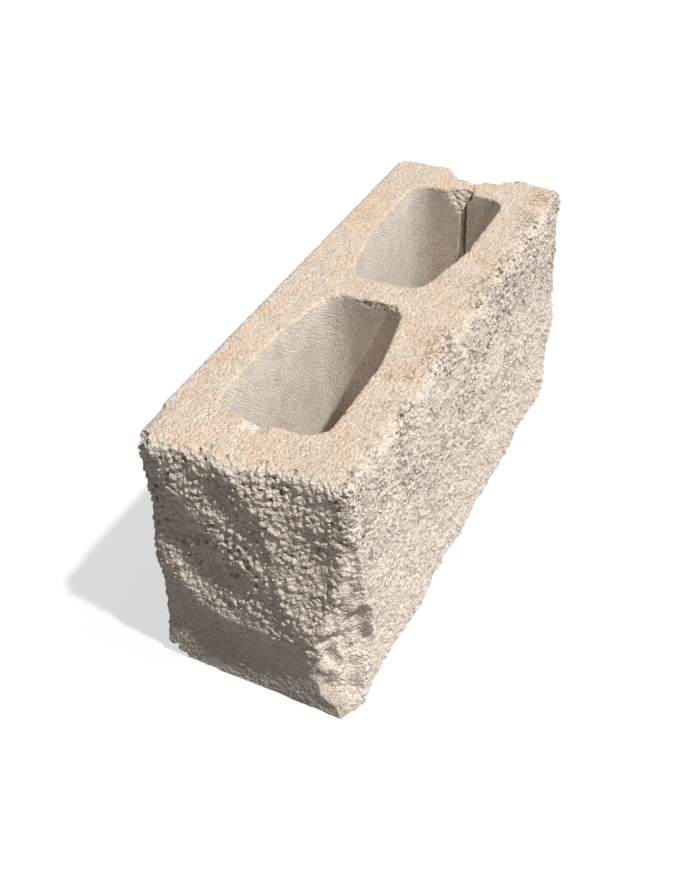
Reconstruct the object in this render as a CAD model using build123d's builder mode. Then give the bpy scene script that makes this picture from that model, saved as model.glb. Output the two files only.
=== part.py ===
from build123d import *
from math import atan, degrees, exp
import os

# Hollow concrete block with two cores: length along X, width along Y, height along Z.
# It stands on Z = 0 and is centred on X and Y. The end at -X and the long face at -Y are split,
# the end at +X and the long face at +Y are as the mould left them.
length = 397
width = 143
height = 194

# Walls around and between the cores, at the top face
split_end_wall = 45
grooved_end_wall = 38
middle_web = 26
split_side_wall = 38
plain_side_wall = 29

# Core outline at the top face: a narrow neck at the middle web that flares to the full width
core_neck = 53
core_flare = 64
core_corner = 16
core_shoulder = 70
core_draft = 3
core_rim = 1.5

# Keyed groove down the middle of the plain end
groove_mouth = 56
groove_floor = 34
groove_depth = 13

# Score lines that face each other in the grooved end's wall
groove_score_mouth = 16
groove_score_depth = 8
core_score_mouth = 8
core_score_depth = 4

# Rounding of the corner and the edges that the mould made
plain_corner = 8
arris = 3

# Split faces: depth of each one's broken relief below its nominal plane, and height and pitch of
# the smaller lumps scattered over both
split_end_relief = 7
split_side_relief = 5.5
lump_relief = 3
lump_pitch = 36
overrun = 25
split_waste = 5
surface_slack = 0.1

# Main high places: along the face from the corner between the split faces, up the face, reach
# as a share of the height, and how near each one comes to the face's nominal plane
split_end_lump_shares = [
    (0.06, 0.03, 0.24, 0.90),
    (0.34, 0.03, 0.24, 0.90),
    (0.64, 0.03, 0.24, 0.90),
    (0.92, 0.03, 0.22, 0.90),
    (0.46, 1.00, 0.16, 0.40),
    (0.14, 0.42, 0.24, 0.50),
    (0.98, 0.92, 0.18, 0.40),
]
split_side_lump_shares = [
    (0.04, 0.98, 0.30, 0.48),
    (0.19, 0.96, 0.30, 0.56),
    (0.34, 0.98, 0.30, 0.47),
    (0.49, 0.96, 0.30, 0.55),
    (0.64, 0.98, 0.30, 0.48),
    (0.79, 0.96, 0.30, 0.54),
    (0.95, 0.92, 0.28, 0.60),
    (0.02, 0.58, 0.24, 0.42),
    (0.14, 0.46, 0.24, 0.72),
    (0.36, 0.52, 0.24, 0.82),
    (0.60, 0.54, 0.26, 1.00),
    (0.80, 0.48, 0.22, 0.62),
    (1.00, 0.40, 0.22, 0.80),
    (0.05, 0.00, 0.24, 0.58),
    (0.28, 0.02, 0.22, 0.80),
    (0.48, 0.02, 0.24, 0.66),
    (0.68, 0.02, 0.24, 0.68),
    (0.94, 0.04, 0.24, 0.70),
]

# Crests across the split end: points along and up the face, the reach of the long slope towards
# the split corner and of the short slope behind, and how near each comes to the nominal plane
split_end_crest_shares = [
    ([(0.58, 1.00), (0.41, 0.82), (0.36, 0.50), (0.18, 0.31)], 0.50, 0.11, 0.90),
    ([(0.84, 1.00), (0.80, 0.83), (0.68, 0.71)], 0.20, 0.11, 0.65),
    ([(0.68, 0.76), (0.47, 0.57)], 0.20, 0.11, 0.55),
    ([(0.90, 0.52), (0.76, 0.36), (0.42, 0.31)], 0.24, 0.12, 0.95),
]

# Scatter of the smaller lumps: steps from one to the next, reach and heights
lump_along_share = 0.7549
lump_up_share = 0.5698
lump_turn_share = 0.618
lump_reach_share = 0.11
lump_least_share = 0.3
lump_most_share = 0.9
lump_fade_share = 0.4
split_end_cells = 9
split_side_cells = 24
split_up_cells = 12

# Sizes that follow from the ones above
core_length = (length - split_end_wall - middle_web - grooved_end_wall) / 2
core_width = width - split_side_wall - plain_side_wall
core_middle = (split_side_wall - plain_side_wall) / 2
split_core_web = -length / 2 + split_end_wall + core_length
grooved_core_web = length / 2 - grooved_end_wall - core_length
groove_bottom = length / 2 - groove_depth


def core_outline(web, toward, score_depth):
    """Draw one core at the top face, from its side of the middle web towards +X or -X."""
    shoulder = web + toward * core_flare
    end = web + toward * core_length
    with BuildSketch(Plane.XY.offset(height)) as outline:
        with BuildLine():
            FilletPolyline(
                (web, core_middle - core_neck / 2),
                (shoulder, core_middle - core_width / 2),
                (end, core_middle - core_width / 2),
                (end, core_middle + core_width / 2),
                (shoulder, core_middle + core_width / 2),
                (web, core_middle + core_neck / 2),
                radius=[core_corner, core_shoulder, core_corner] * 2,
                close=True,
            )
        make_face()
        if score_depth:
            with BuildLine():
                Polyline(
                    (end, -core_score_mouth / 2),
                    (end + toward * score_depth, 0),
                    (end, core_score_mouth / 2),
                    close=True,
                )
            make_face()
    return outline.sketch


def scattered_lumps(face_length):
    """Scatter small lumps over a face, about one pitch apart, each with its own height."""
    lumps = []
    for step in range(round(face_length * height / lump_pitch**2)):
        height_share = step * lump_turn_share % 1
        rise_share = lump_least_share + (lump_most_share - lump_least_share) * height_share
        lumps.append((step * lump_along_share % 1, step * lump_up_share % 1, lump_reach_share, rise_share))
    return lumps


def hollow_among_lumps(along, up, face_length, lump_shares):
    """Share of the full depth that is left at a place between the lumps of a face."""
    hollow_share = 1
    for along_share, up_share, reach_share, rise_share in lump_shares:
        gap = Vector(along - along_share * face_length, up - up_share * height).length
        hollow_share *= 1 - rise_share * exp(-((gap / (reach_share * height)) ** 2))
    return hollow_share


def hollow_among_crests(along, up, face_length, crest_shares):
    """Share of the full depth that is left at a place between the crests of a face."""
    hollow_share = 1
    place = Vector(along, up)
    for points, long_share, short_share, rise_share in crest_shares:
        corners = [Vector(along_share * face_length, up_share * height) for along_share, up_share in points]
        nearest = None
        for start, end in zip(corners, corners[1:]):
            run = end - start
            run_share = max(0, min(1, (place - start).dot(run) / run.dot(run)))
            away = place - start - run * run_share
            if nearest is None or away.length < nearest.length:
                nearest = away
                behind = run.cross(away).Z < 0
        reach = height * (short_share if behind else long_share)
        hollow_share *= 1 - rise_share * max(0, 1 - nearest.length / reach)
    return hollow_share


def split_surface(corner, along_way, inward, face_length, relief, cells, lump_shares, crest_shares):
    """Lay a smooth broken surface over a face, one cell past each of its edges."""
    small_lumps = scattered_lumps(face_length)
    depths = {}
    for up_cell in range(-1, split_up_cells + 2):
        for along_cell in range(-1, cells + 2):
            along = along_cell / cells * face_length
            up = up_cell / split_up_cells * height
            main_share = hollow_among_lumps(along, up, face_length, lump_shares)
            main_share *= hollow_among_crests(along, up, face_length, crest_shares)
            small_share = hollow_among_lumps(along, up, face_length, small_lumps)
            # The small lumps die out on the main high places
            spread_share = min(1, main_share / lump_fade_share)
            depths[along, up] = relief * main_share + lump_relief * small_share * spread_share
    places = [
        corner + along_way * along + inward * depth + Vector(0, 0, up)
        for (along, up), depth in depths.items()
    ]
    row = cells + 3
    rows = [places[start:start + row] for start in range(0, len(places), row)]
    surface = Face.make_surface_from_array_of_points(rows, tol=surface_slack)
    # The highest place on the face comes up to the nominal plane
    reach = Box(length + 2 * split_waste, width + 2 * split_waste, height)
    highest = inward.dot((surface & Pos(0, 0, height / 2) * reach).bounding_box().min - corner)
    return surface.moved(Location(inward * -highest))


split_corner = Vector(-length / 2, -width / 2, 0)
to_plain_end = Vector(1, 0, 0)
to_plain_side = Vector(0, 1, 0)
split_end = split_surface(
    split_corner, to_plain_side, to_plain_end, width, split_end_relief,
    split_end_cells, split_end_lump_shares, split_end_crest_shares,
)
split_side = split_surface(
    split_corner, to_plain_end, to_plain_side, length, split_side_relief,
    split_side_cells, split_side_lump_shares, [],
)

with BuildPart() as block:
    # Solid blank, larger where it is split, with the keyed groove and its score line
    with BuildSketch():
        with Locations((length / 2, width / 2)):
            Rectangle(length + split_waste, width + split_waste, align=(Align.MAX, Align.MAX))
        with BuildLine():
            Polyline(
                (length / 2, -groove_mouth / 2),
                (groove_bottom, -groove_floor / 2),
                (groove_bottom, -groove_score_mouth / 2),
                (groove_bottom - groove_score_depth, 0),
                (groove_bottom, groove_score_mouth / 2),
                (groove_bottom, groove_floor / 2),
                (length / 2, groove_mouth / 2),
                close=True,
            )
        make_face(mode=Mode.SUBTRACT)
    extrude(amount=height)

    # The corner between the plain side and the plain end is well rounded
    upright_edges = block.edges().filter_by(Axis.Z)
    fillet(upright_edges.group_by(Axis.X)[-1].sort_by(Axis.Y)[-1], radius=plain_corner)
    plain_round = block.faces().filter_by(GeomType.CYLINDER)[0]

    # The other edges that the mould made are a little rounded
    plain_side = block.faces().filter_by(Plane.XZ).sort_by(Axis.Y)[-1]
    plain_ears = block.faces().filter_by(Plane.YZ).group_by(Axis.X)[-1]
    mould_edges = plain_side.edges() + plain_ears.edges() + plain_round.edges()
    tangent_edges = plain_round.edges().filter_by(Axis.Z)
    fillet([edge for edge in mould_edges if edge not in tangent_edges], radius=arris)

    # Two cores that open downwards
    add(core_outline(split_core_web, -1, 0))
    add(core_outline(grooved_core_web, 1, core_score_depth))
    extrude(amount=-height, mode=Mode.SUBTRACT)
    core_walls = block.faces(Select.LAST).filter_by(Plane.XY, reverse=True)
    core_slope = degrees(atan(core_draft / height))
    draft(core_walls, neutral_plane=Plane.XY.offset(height), angle=-core_slope)

    # Core rims at the top face are a little worn
    top_face = block.faces().sort_by(Axis.Z)[-1]
    fillet(top_face.inner_wires().edges(), radius=core_rim)

    # The two broken faces
    extrude(split_end, amount=overrun, dir=-to_plain_end, mode=Mode.SUBTRACT)
    extrude(split_side, amount=overrun, dir=-to_plain_side, mode=Mode.SUBTRACT)

block.part.label = "block"
os.makedirs("parts", exist_ok=True)
export_step(block.part, "parts/block.step")
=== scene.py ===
from math import cos, radians, sin

import bpy
import numpy as np
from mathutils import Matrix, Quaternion, Vector


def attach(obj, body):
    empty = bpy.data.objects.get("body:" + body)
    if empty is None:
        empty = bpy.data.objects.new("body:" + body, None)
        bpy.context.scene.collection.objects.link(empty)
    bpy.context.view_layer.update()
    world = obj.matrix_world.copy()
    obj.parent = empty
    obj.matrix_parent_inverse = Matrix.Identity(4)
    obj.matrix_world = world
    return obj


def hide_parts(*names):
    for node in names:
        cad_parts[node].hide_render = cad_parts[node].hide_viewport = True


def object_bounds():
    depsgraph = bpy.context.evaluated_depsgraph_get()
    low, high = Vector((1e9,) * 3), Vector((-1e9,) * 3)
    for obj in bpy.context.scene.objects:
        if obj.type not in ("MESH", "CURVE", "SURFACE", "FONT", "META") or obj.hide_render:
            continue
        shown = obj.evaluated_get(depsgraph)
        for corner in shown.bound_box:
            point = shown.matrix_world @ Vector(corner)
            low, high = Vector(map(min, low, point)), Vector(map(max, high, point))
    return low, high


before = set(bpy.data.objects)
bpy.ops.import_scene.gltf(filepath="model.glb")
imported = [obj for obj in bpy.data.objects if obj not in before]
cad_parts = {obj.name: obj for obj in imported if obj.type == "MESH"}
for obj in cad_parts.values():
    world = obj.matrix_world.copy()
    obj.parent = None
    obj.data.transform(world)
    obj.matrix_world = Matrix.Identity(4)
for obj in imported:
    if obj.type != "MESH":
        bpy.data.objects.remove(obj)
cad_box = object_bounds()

# Lengths in the tables below are in millimetres, in the block's own frame: X along the block
# from the split end to the grooved end, Y from the split long face to the plain one, Z up.
# In a pair called a range, a share starts to rise at the first value and is full at the second.
MM = 0.001
TOP = 194.0
SPLIT_END = -198.5
SPLIT_SIDE = -71.5

# Mesh of the cast block, and the share of breakage from which its facets stay sharp
VOXEL = 1.1
TRIANGLES = 194000
SHARP_FROM = 0.6

# Random fields: cells before they repeat, and each one's seed
LATTICE = 32
WEAR_SEED = 11
END_SEED = 100
SIDE_SEED = 200
GRAIN_SEED = 300
PIT_SEED = 400
CLUSTER_SEEDS = (410, 411)
CRUMBLE_SEED = 420
CHIP_SEED = 500
CHIP_WAVER_SEED = 510
SANDY_SEED = 520
CORNER_SEED = 600
SCOOP_SEED = 620
SCOOP_GRAIN_SEED = 640
SCORE_SEED = 700
SCORE_GRAIN_SEED = 710

# Split faces: how far the broken relief reaches into the faces beside it
END_REACH = (-191.0, -162.0)
SIDE_REACH = (-64.0, -40.0)

# Broken relief: widest lump and its height, and how size and height shrink from step to step
LUMP = 17.0
LUMP_HEIGHT = 2.0
FINER_STEPS = 4
FINER_SIZE = 0.5
FINER_KEEPS = 0.70

# Crests across the split end, as (y, z) points: the light side falls gently up and to the
# split corner, the dark side drops steeply. Each has its height and its two slopes' reaches.
END_CRESTS = [
    ([(60, 196), (54, 166), (42, 156), (29, 138)], 2.4, 20.0, 3.0),
    ([(26, 146), (14, 122), (-4, 111)], 0.5, 10.0, 3.0),
    ([(70, 122), (58, 88), (44, 70), (20, 61), (-12, 61)], 1.7, 26.0, 4.0),
    ([(14, 192), (-3, 174), (-13, 160), (-18, 132), (-21, 98), (-31, 76), (-46, 60)], 2.0, 18.0, 3.0),
]

# How far the split end is set back above its foot, which leaves the crests room
END_SINK = 0.8
END_SINK_RANGE = (0.0, 60.0)

# Hollows in the split end, by the split corner and along the foot: place (y, z), reach, depth
END_HOLLOWS = [
    ((-66, 128), 26.0, 2.6),
    ((-22, 24), 25.0, 2.4),
    ((12, 24), 25.0, 2.4),
    ((44, 26), 23.0, 2.2),
]

# Fine relief that is left at the split end's foot, and on the chipped corner, up to these shares
# of the chip's width and a length past it
FOOT_SHARE = 0.25
FOOT_RANGE = (30.0, 75.0)
CALM_SHARE = 0.3
CALM_WIDTHS = (0.7, 1.2)
CALM_PAST = 3.0

# Worn arrises of the split faces: rounds and step of the rubbing, how much of it stays at the
# foot, what comes on top of that further up, and its waver by size and strength
WEAR_ROUNDS = 60
WEAR_STEP = 0.8
WEAR_AT_FOOT = 0.10
WEAR_ADDED = 0.80
WEAR_RANGE = (60.0, 170.0)
WEAR_WAVER = (24.0, 0.5)

# Chipped upright arris between the split faces: height, and how wide the chip is on the end;
# how much wider it is on the side, its waver, and how far inside X and Y it starts
CORNER_CHIP = [(0, 8), (14, 18), (32, 25), (62, 26), (104, 14), (151, 9), (194, 4)]
CORNER_CHIP_DEPTH_SHARE = 1.3
CORNER_CHIP_WAVER = (14.0, 0.5)
CORNER_CHIP_INSET = (4.0, 3.0)

# Chips along every other arris: spacing, radius as shares of it, depth; their waver by size,
# strength and lift; and how far they may swell
CHIP = (9.0, (0.10, 0.50), 1.6)
CHIP_WAVER = (6.0, 0.8, 0.2)
CHIP_SWELL = 0.2

# An arris is where rubbing moves a point, and its chips end above the foot
EDGE_ROUNDS = 8
EDGE_RANGE = (0.15, 0.8)
EDGE_FOOT_RANGE = (4.0, 12.0)
LEAST_MOVE = 1e-6

# Larger chips out of the arrises and rims: middle, half widths, the way in, and how pitted
SCOOPS = [
    ((-11.5, -1.0, 194.0), (3.5, 17.0, 7.0), (1.0, 0.0, -1.0), 1.0),
    ((-153.5, 9.0, 194.0), (9.0, 11.0, 5.0), (-1.0, 0.0, -1.0), 0.0),
    ((185.5, 12.0, 194.0), (4.0, 8.0, 7.0), (-1.0, 0.0, -1.0), 0.5),
    ((195.0, -24.0, 194.0), (4.0, 7.0, 7.0), (-1.0, -0.6, -1.0), 0.5),
    ((-198.5, 71.5, 0.0), (12.0, 15.0, 11.0), (1.0, -1.0, 1.0), 0.3),
    ((-198.5, 71.5, 194.0), (13.0, 9.0, 13.0), (1.0, -1.0, -1.0), 0.0),
]

# Their waver and their grain by size and strength, how far around one its grain goes, as half
# widths and a length, and how fresh the break looks
SCOOP_WAVER = (4.0, 0.7)
SCOOP_GRAIN = (3.0, 0.25)
SCOOP_NEAR = (1.5, 2.0)
SCOOP_FRESH = 0.72

# Piece broken out of the grooved end's core wall at the top of the score: the wall, how deep the
# break is at the top, its foot, and where it starts, is deepest and ends at foot and top
SCORE_WALL = 160.5
SCORE_CHIP_DEPTH = 11.0
SCORE_CHIP_FOOT = 172.0
SCORE_CHIP_START = (1.0, -7.0)
SCORE_CHIP_MIDDLE = (3.0, -4.0)
SCORE_CHIP_END = (6.0, 17.0)

# Its waver by size and strength, its grains as below, the way in, the margins before and behind
# it, the step that counts as broken, and how fresh and how pitted the break looks
SCORE_CHIP_WAVER = (4.0, 0.8)
SCORE_CHIP_GRAIN = (3.2, (0.25, 0.6), 0.8)
SCORE_CHIP_WAY = (1.0, 0.0, -1.0)
SCORE_CHIP_MARGINS = (2.0, 4.0)
SCORE_CHIP_LEAST = 0.3
SCORE_CHIP_FRESH = 0.9
SCORE_CHIP_PITTED = 0.4

# Sandy grain of the top face: size and height, and the thickness of the skin that has it
SANDY = (3.2, 0.5)
SANDY_SKIN = 1.5

# Grains and pits of the broken concrete: spacing, radius as shares of it, height or depth; how
# much of the grains each split face shows, and how far they fill the pits
GRAIN = (3.8, (0.30, 0.60), 1.5)
PIT = (5.5, (0.16, 0.40), 3.4)
END_GRAIN_SHARE = 1.3
SIDE_GRAIN_SHARE = 0.7
GRAIN_FILLS = 0.5

# Clusters of pits: sizes of the two fields they come from, share of the finer field, range, and
# how deep the pits are between the clusters and at the foot
CLUSTER_SIZES = (26.0, 9.0)
CLUSTER_FINER = 0.5
CLUSTER_RANGE = (-0.12, 0.16)
CLUSTER_LEAST = 0.2
PIT_AT_FOOT = 0.25
PIT_RANGE = (70.0, 130.0)

# Crumbled top face beside the split faces: where along Y, X and Z, its waver by size, strength
# and lift, and how much of the pits goes down into it
CRUMBLE_SIDE = (-66.0, -46.0)
CRUMBLE_END = (-193.0, -180.0)
CRUMBLE_RANGE = (184.0, 193.0)
CRUMBLE_WAVER = (4.0, 1.2, 0.5)
CRUMBLE_PITS = 0.8


def ease(value, low, high):
    """Go smoothly from 0 at low to 1 at high."""
    share = np.clip((value - low) / (high - low), 0, 1)
    return share * share * (3 - 2 * share)


def at_least(least, share):
    """Squeeze a share of 0 to 1 so that it starts at least."""
    return least + (1 - least) * share


def soft_noise(points, size, seed):
    """Random field of about -0.7 to 0.7 that changes over a length of size."""
    slopes = np.random.default_rng(seed).normal(size=(LATTICE, LATTICE, LATTICE, 3))
    slopes /= np.linalg.norm(slopes, axis=-1, keepdims=True)
    place = points / size
    low = np.floor(place).astype(int)
    inside = place - low
    blend = inside**3 * (inside * (inside * 6 - 15) + 10)
    total = np.zeros(len(points))
    for corner in np.ndindex(2, 2, 2):
        corner = np.array(corner)
        slope = slopes[tuple(((low + corner) % LATTICE).T)]
        share = np.prod(np.where(corner, blend, 1 - blend), axis=1)
        total += share * np.einsum("ij,ij->i", slope, inside - corner)
    return total


def broken_relief(points, seed):
    """Rough relief of a fracture: finer and finer lumps of smaller and smaller height."""
    lump, height = LUMP, LUMP_HEIGHT
    total = np.zeros(len(points))
    for step in range(FINER_STEPS):
        total += height * soft_noise(points, lump, seed + step)
        lump *= FINER_SIZE
        height *= FINER_KEEPS
    return total


def round_grains(points, spacing, radius_shares, seed):
    """Domes of scattered round grains: 0 between them, up to 1 on the largest ones."""
    rng = np.random.default_rng(seed)
    offsets = rng.uniform(0, 1, (LATTICE, LATTICE, LATTICE, 3))
    radii = rng.uniform(*radius_shares, (LATTICE, LATTICE, LATTICE))
    place = points / spacing
    low = np.floor(place).astype(int)
    best = np.zeros(len(points))
    for step in np.ndindex(3, 3, 3):
        cell = low + np.array(step) - 1
        key = tuple((cell % LATTICE).T)
        gap = np.sum((place - cell - offsets[key])**2, axis=1)
        dome = np.sqrt(np.clip(1 - gap / radii[key]**2, 0, 1)) * radii[key] / radius_shares[1]
        best = np.maximum(best, dome)
    return best


def crest_height(y, z, crest):
    """Height of one crest across the split end."""
    line, height, gentle, steep = crest
    line = np.array(line, float)
    best = np.full(len(y), np.inf)
    side = np.zeros(len(y))
    for start, end in zip(line[:-1], line[1:]):
        run = end - start
        share = np.clip(((y - start[0]) * run[0] + (z - start[1]) * run[1]) / (run @ run), 0, 1)
        off_y = y - start[0] - share * run[0]
        off_z = z - start[1] - share * run[1]
        gap = np.hypot(off_y, off_z)
        nearer = gap < best
        best = np.where(nearer, gap, best)
        side = np.where(nearer, off_z * -run[0] + off_y * run[1], side)
    reach = np.where(side < 0, steep, gentle)
    return height * np.exp(-best / reach)


def rubbed(points, edges, region, rounds):
    """Points after rubbing the region's edges round."""
    worn = points.copy()
    inner = edges[region[edges].all(axis=1)]
    count = len(points)
    ends = np.concatenate([inner[:, 0], inner[:, 1]])
    others = np.concatenate([inner[:, 1], inner[:, 0]])
    neighbours = np.bincount(ends, minlength=count)
    moving = neighbours > 2
    for _ in range(rounds):
        for axis in range(3):
            total = np.bincount(ends, worn[others, axis], count)
            mean = total[moving] / neighbours[moving]
            worn[moving, axis] += WEAR_STEP * (mean - worn[moving, axis])
    return worn


def mesh_points(mesh):
    flat = np.zeros(len(mesh.vertices) * 3)
    mesh.vertices.foreach_get("co", flat)
    return flat.reshape(-1, 3) / MM


def mesh_edges(mesh):
    flat = np.zeros(len(mesh.edges) * 2, int)
    mesh.edges.foreach_get("vertices", flat)
    return flat.reshape(-1, 2)


def add_modified(name, mesh, kind, settings):
    """Make an object of the mesh as one modifier leaves it."""
    rough = bpy.data.objects.new(name + "_rough", mesh)
    bpy.context.collection.objects.link(rough)
    modifier = rough.modifiers.new(kind, kind)
    for key, value in settings.items():
        setattr(modifier, key, value)
    shaped = rough.evaluated_get(bpy.context.evaluated_depsgraph_get())
    result = bpy.data.meshes.new_from_object(shaped)
    result.name = name
    bpy.data.objects.remove(rough)
    bpy.data.meshes.remove(mesh)
    return result


def chip_edges(points, edges):
    """Chip the arrises and core rims, and give the top its sandy grain."""
    everywhere = np.ones(len(points), bool)
    shift = rubbed(points, edges, everywhere, EDGE_ROUNDS) - points
    amount = np.linalg.norm(shift, axis=1)
    edge = ease(amount, *EDGE_RANGE) * ease(points[:, 2], *EDGE_FOOT_RANGE)
    picked = edge > 0
    spacing, radius_shares, depth = CHIP
    waver_size, waver, lift = CHIP_WAVER
    chips = np.zeros(len(points))
    chips[picked] = round_grains(points[picked], spacing, radius_shares, CHIP_SEED) * depth
    chips[picked] += waver * (soft_noise(points[picked], waver_size, CHIP_WAVER_SEED) + lift)
    step = shift / np.maximum(amount, LEAST_MOVE)[:, None]
    points = points + step * (edge * np.maximum(chips, -CHIP_SWELL))[:, None]
    top = points[:, 2] > TOP - SANDY_SKIN
    sandy_size, sandy_height = SANDY
    points[top, 2] -= sandy_height * np.abs(soft_noise(points[top], sandy_size, SANDY_SEED))
    return points


def corner_chip_width(z):
    """Width of the chip between the split faces, as it shows on the end."""
    heights, widths = np.array(CORNER_CHIP, float).T
    return np.interp(z, heights, widths)


def chip_corner(points):
    """Break the upright arris between the split faces away at a slant."""
    x, y, z = points.T
    waver_size, waver = CORNER_CHIP_WAVER
    wide = corner_chip_width(z) * (1 + waver * soft_noise(points, waver_size, CORNER_SEED))
    deep = wide * CORNER_CHIP_DEPTH_SHARE
    along = (x - SPLIT_END - CORNER_CHIP_INSET[0]) / deep
    across = (y - SPLIT_SIDE - CORNER_CHIP_INSET[1]) / wide
    short = np.clip(1 - along - across, 0, None)
    reach = 1 / (1 / deep**2 + 1 / wide**2)
    points[:, 0] += short * reach / deep
    points[:, 1] += short * reach / wide
    return points


def scoop_chips(points):
    """Scoop the larger chips out. Returns the points, and which ones are chipped and pitted."""
    chipped = np.zeros(len(points))
    pitted = np.zeros(len(points))
    waver_size, waver = SCOOP_WAVER
    grain_size, grain_height = SCOOP_GRAIN
    for count, (middle, half_widths, inward, pit_share) in enumerate(SCOOPS):
        half_widths = np.array(half_widths)
        near = np.all(np.abs(points - middle) < SCOOP_NEAR[0] * half_widths + SCOOP_NEAR[1], axis=1)
        grain = soft_noise(points[near], grain_size, SCOOP_GRAIN_SEED + count)
        points[near] += grain_height * grain[:, None]
        place = points[near]
        wide = half_widths * (1 + waver * soft_noise(place, waver_size, SCOOP_SEED + count))[:, None]
        # Each point inside the chip's ball goes the way in until it meets the ball's far side
        gap = (place - middle) / wide
        way = np.array(inward) / wide
        square = np.sum(way * way, axis=1)
        along = np.sum(gap * way, axis=1)
        inside = 1 - np.sum(gap * gap, axis=1)
        root = np.sqrt(np.clip(along**2 + square * inside, 0, None))
        reach = np.where(inside > 0, root - along, 0)
        points[near] += np.outer(reach / square, inward)
        chipped[near] = np.maximum(chipped[near], SCOOP_FRESH * (reach > 0))
        pitted[near] = np.maximum(pitted[near], pit_share * (reach > 0))
    return points, chipped, pitted


def chip_score(points):
    """Break a piece out at the top of the core's score. Returns the points and where it was."""
    x, y, z = points.T
    front = SCORE_WALL - SCORE_CHIP_MARGINS[0]
    back = SCORE_WALL + SCORE_CHIP_DEPTH + SCORE_CHIP_MARGINS[1]
    near = (x > front) & (x < back) & (z > SCORE_CHIP_FOOT)
    place = points[near]
    x, y, z = place.T
    drop = TOP - SCORE_CHIP_FOOT
    up = (z - SCORE_CHIP_FOOT) / drop
    lines = (SCORE_CHIP_START, SCORE_CHIP_MIDDLE, SCORE_CHIP_END)
    start, middle, end = (at_foot + (at_top - at_foot) * up for at_foot, at_top in lines)
    share = np.minimum((y - start) / (middle - start), (end - y) / (end - middle))
    waver_size, waver = SCORE_CHIP_WAVER
    rough = 1 + waver * soft_noise(place, waver_size, SCORE_SEED)
    deep = SCORE_CHIP_DEPTH * np.clip(share, 0, 1) * rough
    step = np.clip((SCORE_WALL + deep * up - x) / (1 + deep / drop), 0, None) * (share > 0)
    spacing, radius_shares, height = SCORE_CHIP_GRAIN
    step -= (step > 0) * height * round_grains(place, spacing, radius_shares, SCORE_GRAIN_SEED)
    points[near] += np.outer(step, SCORE_CHIP_WAY)
    broken = np.zeros(len(points))
    broken[near] = SCORE_CHIP_FRESH * (step > SCORE_CHIP_LEAST)
    return points, broken


def wear_arrises(points, edges):
    """Rub the arrises of the split faces round, most along the top and least at the foot."""
    x, y, z = points.T
    region = (x < END_REACH[1]) | (y < SIDE_REACH[1])
    shift = rubbed(points, edges, region, WEAR_ROUNDS) - points
    waver_size, waver = WEAR_WAVER
    share = WEAR_AT_FOOT + WEAR_ADDED * ease(z, *WEAR_RANGE)
    share = np.clip(share + waver * soft_noise(points, waver_size, WEAR_SEED), 0, 1)
    return points + shift * share[:, None]


def end_form(y, z):
    """Height of the split end's crests over the solid, less its hollows and its setback."""
    rise = np.zeros(len(y))
    for crest in END_CRESTS:
        rise += crest_height(y, z, crest)
    for (y_middle, z_middle), reach, depth in END_HOLLOWS:
        gap = np.hypot(y - y_middle, z - z_middle) / reach
        rise -= depth * np.exp(-gap**2)
    return rise - END_SINK * ease(z, *END_SINK_RANGE)


def end_roughness(y, z):
    """Share of the fine relief that the split end shows: less at the foot and the chipped corner."""
    wide = corner_chip_width(z)
    start, end = (share * wide for share in CALM_WIDTHS)
    calm = at_least(CALM_SHARE, ease(y - SPLIT_SIDE, start, end + CALM_PAST))
    return at_least(FOOT_SHARE, ease(z, *FOOT_RANGE)) * calm


def pit_clusters(place):
    """How deep the pits are, as a share: they come in clusters, and are shallow at the foot."""
    field, finer = (soft_noise(place, *draw) for draw in zip(CLUSTER_SIZES, CLUSTER_SEEDS))
    cluster = ease(field + CLUSTER_FINER * finer, *CLUSTER_RANGE)
    up = ease(place[:, 2], *PIT_RANGE)
    return at_least(CLUSTER_LEAST, cluster) * at_least(PIT_AT_FOOT, up)


def crumbled(place, pits):
    """How far the top face has crumbled down beside the split faces."""
    x, y, z = place.T
    near = np.maximum(1 - ease(y, *CRUMBLE_SIDE), 1 - ease(x, *CRUMBLE_END))
    waver_size, waver, lift = CRUMBLE_WAVER
    drop = np.clip(lift + waver * soft_noise(place, waver_size, CRUMBLE_SEED), 0, None)
    return ease(z, *CRUMBLE_RANGE) * near * (drop + CRUMBLE_PITS * pits)


def break_faces(points, edges):
    """Break the split faces and the chips. Returns the points and what the finish has to know."""
    end_share = 1 - ease(points[:, 0], *END_REACH)
    side_share = 1 - ease(points[:, 1], *SIDE_REACH)
    points = chip_corner(wear_arrises(points, edges))

    # Crests and hollows of the split end, and the fracture, grains and pits of both faces
    picked = np.maximum(end_share, side_share) > 0
    place = points[picked]
    y, z = place[:, 1], place[:, 2]
    pitted = pit_clusters(place)
    grains = round_grains(place, *GRAIN[:2], GRAIN_SEED) * GRAIN[2]
    pits = round_grains(place, *PIT[:2], PIT_SEED) * PIT[2] * pitted
    end_fine = broken_relief(place, END_SEED) + END_GRAIN_SHARE * grains - pits
    side_rise = broken_relief(place, SIDE_SEED) + SIDE_GRAIN_SHARE * grains - pits
    points[picked, 0] -= end_share[picked] * (end_form(y, z) + end_roughness(y, z) * end_fine)
    points[picked, 1] -= side_share[picked] * side_rise
    points[picked, 2] -= crumbled(place, pits)

    points, chipped, chip_pitted = scoop_chips(points)
    points, score_chip = chip_score(points)
    # Share of each pit's depth, for the finish to paint shade into
    pit_shade = np.zeros(len(points))
    pit_shade[picked] = np.clip(pits / PIT[2] - GRAIN_FILLS * grains / GRAIN[2], 0, 1)
    side_pitted = np.zeros(len(points))
    side_pitted[picked] = pitted * side_share[picked]
    broken = np.max([end_share, side_share, chipped, score_chip], axis=0)
    all_pitted = np.max([side_pitted, chip_pitted, SCORE_CHIP_PITTED * score_chip], axis=0)
    return points, {"pit_shade": pit_shade, "broken": broken, "pitted": all_pitted}


def keep_level(mesh, name, values):
    """Keep a number for each point of the mesh, for the finish to use."""
    mesh.attributes.new(name, "FLOAT", "POINT").data.foreach_set("value", values)


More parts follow.
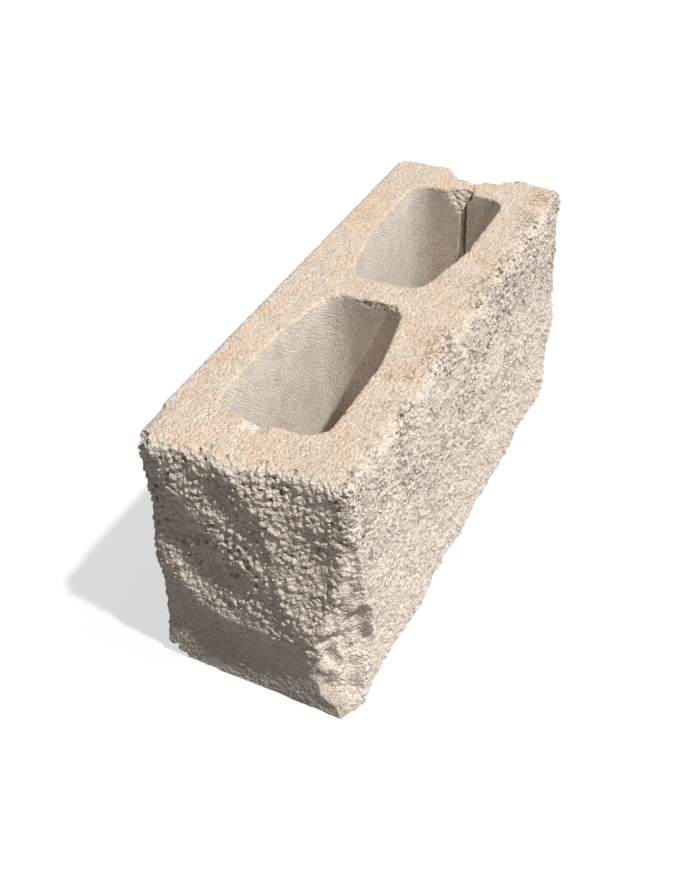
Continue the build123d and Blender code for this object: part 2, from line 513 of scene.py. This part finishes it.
def roughen(mesh):
    """Leave the facets of the broken faces sharp."""
    broken = np.zeros(len(mesh.vertices), "f")
    mesh.attributes["broken"].data.foreach_get("value", broken)
    corners = np.zeros(len(mesh.loops), int)
    mesh.loops.foreach_get("vertex_index", corners)
    smooth = broken[corners].reshape(-1, 3).mean(axis=1) < SHARP_FROM
    mesh.polygons.foreach_set("use_smooth", smooth)
    mesh.update()


def cast_block():
    """The block, cast in one piece, with its two broken faces."""
    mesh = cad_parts["block"].data.copy()
    mesh = add_modified("cast_block", mesh, "REMESH", {"mode": "VOXEL", "voxel_size": VOXEL * MM})
    edges = mesh_edges(mesh)
    points = chip_edges(mesh_points(mesh), edges)
    points, levels = break_faces(points, edges)
    low, high = (np.array(corner) / MM for corner in cad_box)
    points = np.clip(points, low, high)
    mesh.vertices.foreach_set("co", (points * MM).ravel())
    for name, values in levels.items():
        keep_level(mesh, name, values)
    mesh.update()
    ratio = TRIANGLES / (2 * len(mesh.polygons))
    fewer = {"ratio": ratio, "use_collapse_triangulate": True}
    mesh = add_modified("cast_block", mesh, "DECIMATE", fewer)
    mesh.shade_smooth()
    roughen(mesh)
    block = bpy.data.objects.new("cast_block", mesh)
    bpy.context.collection.objects.link(block)
    return block


class Finish:
    """The nodes of one material or of the world."""

    def __init__(self, owner):
        owner.use_nodes = True
        self.tree = owner.node_tree
        self.tree.nodes.clear()

    def node(self, kind, settings=None, sockets=None):
        made = self.tree.nodes.new(kind)
        for key, value in (settings or {}).items():
            setattr(made, key, value)
        for key, value in (sockets or {}).items():
            if isinstance(value, Level):
                self.tree.links.new(value.socket, made.inputs[key])
            elif isinstance(value, bpy.types.NodeSocket):
                self.tree.links.new(value, made.inputs[key])
            else:
                made.inputs[key].default_value = value
        return made

    def level(self, kind, settings=None, sockets=None, output=0):
        return Level(self, self.node(kind, settings, sockets).outputs[output])

    def mix(self, share, first, second):
        """Colour between first and second."""
        settings = {"data_type": "RGBA", "blend_type": "MIX", "clamp_factor": True}
        sockets = {0: share, 6: first, 7: second}
        return self.node("ShaderNodeMix", settings, sockets).outputs[2]

    def blend(self, share, first, second):
        """Shader between first and second."""
        sockets = {0: share, 1: first.outputs[0], 2: second.outputs[0]}
        return self.node("ShaderNodeMixShader", None, sockets)

    def seen(self):
        """1 for what the camera sees, also in a mirror or through glass, 0 for what gives light."""
        path = self.node("ShaderNodeLightPath")
        rays = ("Is Camera Ray", "Is Glossy Ray", "Is Transmission Ray")
        camera, glossy, through = (Level(self, path.outputs[ray]) for ray in rays)
        return camera.most(glossy).most(through)


class Level:
    """A number that changes over a surface. Arithmetic on it adds Math nodes."""

    def __init__(self, finish, socket):
        self.finish = finish
        self.socket = socket

    def maths(self, operation, first, second):
        return self.finish.level("ShaderNodeMath", {"operation": operation}, {0: first, 1: second})

    def __add__(self, other):
        return self.maths("ADD", self, other)

    __radd__ = __add__

    def __sub__(self, other):
        return self.maths("SUBTRACT", self, other)

    def __rsub__(self, other):
        return self.maths("SUBTRACT", other, self)

    def __mul__(self, other):
        return self.maths("MULTIPLY", self, other)

    __rmul__ = __mul__

    def most(self, other):
        return self.maths("MAXIMUM", self, other)

    def rise(self, low, high):
        """Go smoothly from 0 at low to 1 at high."""
        settings = {"interpolation_type": "SMOOTHSTEP"}
        sockets = {"Value": self, "From Min": low, "From Max": high}
        return self.finish.level("ShaderNodeMapRange", settings, sockets)


# Colours of the concrete, as linear red, green and blue
SAND = (0.80, 0.66, 0.53, 1)
SALMON = (0.83, 0.63, 0.465, 1)
CREAM = (0.89, 0.77, 0.665, 1)
CORE_GREY = (0.96, 0.86, 0.76, 1)
PALE_GRAIN = (0.96, 0.90, 0.82, 1)
# Dark of the sand grains, also the colour that every painted shade mixes towards
DARK_GRAIN_AND_SHADE = (0.20, 0.165, 0.13, 1)

# Zones of the finish: the kept share of breakage, and X, Y and Z in metres
FRESH_RANGE = (0.55, 0.95)
BROKEN_UP = (0.1938, 0.1905)
CORE_ALONG = ((-0.165, -0.160), (0.175, 0.170))
CORE_ACROSS = ((-0.046, -0.042), (0.055, 0.050))
CORE_UP = (0.1932, 0.190)
END_ALONG = (-0.186, -0.193)

# Blotches: their noise by size in millimetres, detail and roughness, and the range of it
PATCHES = ((26, 3, 0.5), (0.42, 0.64))
PORES = ((2.4, 2, 0.6), (0.60, 0.70))
CREVICES = ((2.6, 3, 0.7), (0.52, 0.57))
CLOUDS = ((11, 4, 0.5), (0.60, 0.30))
GRAIN_SHADOW_SPECKS = ((1.5, 2, 0.6), (0.54, 0.63))

# How far each of them darkens the concrete, and how much more the pores do on broken faces. The
# darkening in the pits, the core walls' specks and the crack is painted shade; in the crevices it is
# partly painted shade
PORES_DARKEN = 0.40
BROKEN_PORES_ADD = 0.2
CREVICE_DARK_AND_SHADE = 0.85
PIT_PAINTED_SHADE = 0.75
CLOUDS_DARKEN = 0.14
GRAIN_SHADOW_DARKEN = 0.40
CRACK_PAINTED_SHADE = 0.85

# Grains of sand: sizes in millimetres, the tones that show as pale or dark, how far those go,
# how many of the pale ones show, and how much fainter all of it is on the core walls
COARSE_SAND = 2.1
FINE_SAND = 1.1
PALE_RANGE = (0.55, 1.0)
DARK_RANGE = (0.40, 0.0)
PALE_SHARE = 0.45
DARK_SHARE = 0.34
PALE_SHOWS = 0.8
CORE_FAINTER = 0.5

# Painted shade on the split end, which the key light only grazes, most of all at its foot: share, and
# range of Z
END_PAINTED_SHADE = 0.08
FOOT_PAINTED_SHADE = ((0.10, (0.075, 0.03)), (0.22, (0.030, 0.012)))

# Core walls that look this much along -X, which the key light only grazes, get painted grain shadows
GRAIN_SHADOW_FACING = (-0.15, -0.85)

# Painted shade of the crack in the score: the noise it wanders with, by size in millimetres and detail,
# and in metres how far it wanders, its outer and inner half width, and where it starts and ends along X
CRACK_NOISE = (9, 2)
NOISE_MIDDLE = 0.5
CRACK_WANDER = 0.003
CRACK_WIDTH = (0.0016, 0.0006)
CRACK_START = (0.1605, 0.162)
CRACK_END = (0.172, 0.168)

# Sandy grain in the surface: depth of the coarse and fine grains, the pores and the core walls'
# fine pores, and how much less or more of each the core walls have
COARSE_DEPTH, COARSE_CORE_LESS = 0.7, 0.6
FINE_DEPTH = 0.35
PORE_DEPTH, PORE_CORE_LESS = 1.0, 0.5
CORE_PORES = (1.3, 2, 0.6)
CORE_PORE_DEPTH = 0.4
BUMP_STRENGTH = 0.9
BUMP_HEIGHT = 1.2

ROUGHNESS = 0.95
SPECULAR = 0.2


class Surface(Finish):
    """The nodes of a material that changes over its object."""

    def __init__(self, material):
        super().__init__(material)
        self.place = self.node("ShaderNodeTexCoord").outputs["Object"]

    def parts(self, socket):
        """The three numbers of a place, a direction or a colour."""
        split = self.node("ShaderNodeSeparateXYZ", None, {0: socket})
        return [Level(self, output) for output in split.outputs]

    def noise(self, size, detail, rough=0.5):
        sockets = {"Vector": self.place, "Scale": 1 / (size * MM), "Detail": detail, "Roughness": rough}
        return self.level("ShaderNodeTexNoise", {"noise_dimensions": "3D"}, sockets)

    def blotches(self, kind):
        noise, reach = kind
        return self.noise(*noise).rise(*reach)

    def grains(self, size):
        """Each grain's own tone, and the distance from its middle."""
        sockets = {"Vector": self.place, "Scale": 1 / (size * MM)}
        cells = self.node("ShaderNodeTexVoronoi", {"feature": "F1"}, sockets)
        return self.parts(cells.outputs["Color"])[0], Level(self, cells.outputs["Distance"])

    def kept(self, name):
        """A number that the mesh keeps for each of its points."""
        return self.level("ShaderNodeAttribute", {"attribute_name": name}, None, "Fac")

    def darken(self, colour, share):
        return self.mix(share, colour, DARK_GRAIN_AND_SHADE)


def painted_crack_shade(surface, x, y):
    """Where the crack in the score runs, for its painted shade."""
    wander = (surface.noise(*CRACK_NOISE) - NOISE_MIDDLE) * CRACK_WANDER + y
    outer, inner = CRACK_WIDTH
    crack = wander.rise(-outer, -inner) * wander.rise(outer, inner)
    return crack * x.rise(*CRACK_START) * x.rise(*CRACK_END)


def sandy(surface, colour, coarse_tone, fine_tone, contrast):
    """Colour with the pale and dark grains of the sand."""
    pale = surface.mix(PALE_SHARE, colour, PALE_GRAIN)
    dark = surface.mix(DARK_SHARE, colour, DARK_GRAIN_AND_SHADE)
    colour = surface.mix(coarse_tone.rise(*PALE_RANGE) * contrast * PALE_SHOWS, colour, pale)
    return surface.mix(fine_tone.rise(*DARK_RANGE) * contrast, colour, dark)


def concrete():
    """Sandy dry-cast concrete: tan mould faces, cream broken faces, greyer core walls."""
    material = bpy.data.materials.new("concrete")
    surface = Surface(material)
    x, y, z = surface.parts(surface.place)

    # Zones: broken faces, core walls, and the mould faces that are left
    fresh = surface.kept("broken").rise(*FRESH_RANGE)
    broken = fresh * z.rise(*BROKEN_UP)
    core = z.rise(*CORE_UP) * (1 - fresh)
    for level, ranges in ((x, CORE_ALONG), (y, CORE_ACROSS)):
        for reach in ranges:
            core = core * level.rise(*reach)
    colour = surface.mix(surface.blotches(PATCHES), SAND, SALMON)
    colour = surface.mix(broken, colour, CREAM)
    colour = surface.mix(core, colour, CORE_GREY)

    # Sand, pores, and painted shade in the crevices and pits of the broken faces
    coarse_tone, coarse_gap = surface.grains(COARSE_SAND)
    fine_tone, fine_gap = surface.grains(FINE_SAND)
    contrast = 1 - CORE_FAINTER * core
    colour = sandy(surface, colour, coarse_tone, fine_tone, contrast)
    pore = surface.blotches(PORES) * contrast
    colour = surface.darken(colour, pore * (PORES_DARKEN + BROKEN_PORES_ADD * broken))
    # Dark crevices where the pits cluster and on the chips: partly the pores' own dark, partly painted
    # shade
    crevice_dark_and_shade = surface.blotches(CREVICES) * surface.kept("pitted")
    colour = surface.darken(colour, crevice_dark_and_shade * CREVICE_DARK_AND_SHADE)
    # Painted shade in the pits, darkest where they are deepest
    colour = surface.darken(colour, surface.kept("pit_shade") * PIT_PAINTED_SHADE)

    # Painted shade on the split end, and cloudy tones all over
    end_painted_shade = END_PAINTED_SHADE
    for share, reach in FOOT_PAINTED_SHADE:
        end_painted_shade = end_painted_shade + share * z.rise(*reach)
    colour = surface.darken(colour, broken * x.rise(*END_ALONG) * end_painted_shade)
    colour = surface.darken(colour, surface.blotches(CLOUDS) * CLOUDS_DARKEN)

    # Painted grain shadows on the core walls across the block, where the light grazes, and painted
    # shade in the crack of the score
    facing = surface.parts(surface.node("ShaderNodeNewGeometry").outputs["Normal"])[0]
    grain_shadow = surface.blotches(GRAIN_SHADOW_SPECKS) * core * facing.rise(*GRAIN_SHADOW_FACING)
    colour = surface.darken(colour, grain_shadow * GRAIN_SHADOW_DARKEN)
    colour = surface.darken(colour, painted_crack_shade(surface, x, y) * core * CRACK_PAINTED_SHADE)

    # Sandy grain in the surface, finer on the core walls
    height = coarse_gap * -COARSE_DEPTH * (1 - COARSE_CORE_LESS * core)
    height = height + fine_gap * -FINE_DEPTH * (1 + core)
    height = height + surface.noise(*PORES[0]) * -PORE_DEPTH * (1 - PORE_CORE_LESS * core)
    height = height + surface.noise(*CORE_PORES) * -CORE_PORE_DEPTH * core
    sockets = {"Strength": BUMP_STRENGTH, "Distance": BUMP_HEIGHT * MM, "Height": height}
    bump = surface.node("ShaderNodeBump", None, sockets)
    shader = surface.node("ShaderNodeBsdfPrincipled", None, {
        "Base Color": colour,
        "Roughness": ROUGHNESS,
        "Specular IOR Level": SPECULAR,
        "Normal": bump.outputs[0],
    })
    surface.node("ShaderNodeOutputMaterial", None, {"Surface": shader.outputs[0]})
    return material


# Camera, fitted to the block's corners, core rims and edges in a 700 by 885 image
CAMERA_PLACE = Vector((-0.5894, -0.2734, 0.6101))
CAMERA_AIM = Vector((-0.1824, -0.0556, 0.2618))
CAMERA_ROLL = radians(-2.6)
CAMERA_FOCAL = 1121.1
IMAGE_HEIGHT = 885
SENSOR = 36
CAMERA_SHIFT = (20 / IMAGE_HEIGHT, -60 / IMAGE_HEIGHT)

# Key light: strength, softness, height above the horizon, and turn from the split long face
# towards the split end
SUN_STRENGTH = 2.9
SUN_SOFTNESS = radians(2)
SUN_HEIGHT = radians(60)
SUN_TURN = radians(8)

# Soft light on the split long face, and the even light of the room
SOFT_STRENGTH = 1.0
SOFT_SOFTNESS = radians(60)
SOFT_HEIGHT = radians(42)
SOFT_TURN = radians(-24)
FILL = 0.12
FILL_COLOUR = (0.97, 0.985, 1, 1)

# White of the background, and the floor: its size, the tone that it throws back, and how strongly
# the block's shadow shows on it
WHITE = (1, 1, 1, 1)
WHITE_STRENGTH = 1.0
FLOOR_SIZE = 8.0
FLOOR_TONE = (0.27, 0.265, 0.26, 1)
FLOOR_SHADOW_SHARE = 0.35


def add_camera():
    lens = bpy.data.cameras.new("camera")
    lens.sensor_width = SENSOR
    lens.lens = CAMERA_FOCAL * SENSOR / IMAGE_HEIGHT
    lens.shift_x, lens.shift_y = CAMERA_SHIFT
    camera = bpy.data.objects.new("camera", lens)
    camera.location = CAMERA_PLACE
    camera.rotation_mode = "QUATERNION"
    level = (CAMERA_AIM - CAMERA_PLACE).to_track_quat("-Z", "Y")
    camera.rotation_quaternion = level @ Quaternion((0, 0, 1), CAMERA_ROLL)
    bpy.context.collection.objects.link(camera)
    bpy.context.scene.camera = camera


def add_lamp(name, strength, softness, height, turn):
    """A distant lamp in front of the split long face, turned towards the split end."""
    lamp = bpy.data.lights.new(name, "SUN")
    lamp.energy = strength
    lamp.angle = softness
    holder = bpy.data.objects.new(name, lamp)
    toward = Vector((-sin(turn) * cos(height), -cos(turn) * cos(height), sin(height)))
    holder.rotation_mode = "QUATERNION"
    holder.rotation_quaternion = toward.to_track_quat("Z", "Y")
    bpy.context.collection.objects.link(holder)


def add_light():
    add_lamp("key", SUN_STRENGTH, SUN_SOFTNESS, SUN_HEIGHT, SUN_TURN)
    add_lamp("soft", SOFT_STRENGTH, SOFT_SOFTNESS, SOFT_HEIGHT, SOFT_TURN)
    world = bpy.data.worlds.new("studio")
    bpy.context.scene.world = world
    finish = Finish(world)
    fill = finish.node("ShaderNodeBackground", None, {"Color": FILL_COLOUR, "Strength": FILL})
    white = finish.node("ShaderNodeBackground", None, {"Color": WHITE, "Strength": WHITE_STRENGTH})
    both = finish.blend(finish.seen(), fill, white)
    finish.node("ShaderNodeOutputWorld", None, {"Surface": both.outputs[0]})


def floor_material():
    """Plain ground to the light, white with the block's shadow to the camera."""
    material = bpy.data.materials.new("floor")
    finish = Finish(material)
    ground = finish.node("ShaderNodeBsdfDiffuse", None, {"Color": FLOOR_TONE})
    shaded = finish.node("ShaderNodeBsdfDiffuse", None, {"Color": WHITE})
    white = finish.node("ShaderNodeEmission", None, {"Color": WHITE, "Strength": WHITE_STRENGTH})
    pale = finish.blend(FLOOR_SHADOW_SHARE, white, shaded)
    both = finish.blend(finish.seen(), ground, pale)
    finish.node("ShaderNodeOutputMaterial", None, {"Surface": both.outputs[0]})
    return material


def add_floor():
    half = FLOOR_SIZE / 2
    corners = [(-half, -half, 0), (half, -half, 0), (half, half, 0), (-half, half, 0)]
    mesh = bpy.data.meshes.new("floor")
    mesh.from_pydata(corners, [], [(0, 1, 2, 3)])
    mesh.materials.append(floor_material())
    floor = bpy.data.objects.new("floor", mesh)
    bpy.context.collection.objects.link(floor)


block = cast_block()
block.data.materials.clear()
block.data.materials.append(concrete())
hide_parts("block")
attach(block, "root")
add_floor()
add_light()
add_camera()
bpy.context.scene.view_settings.view_transform = "Standard"
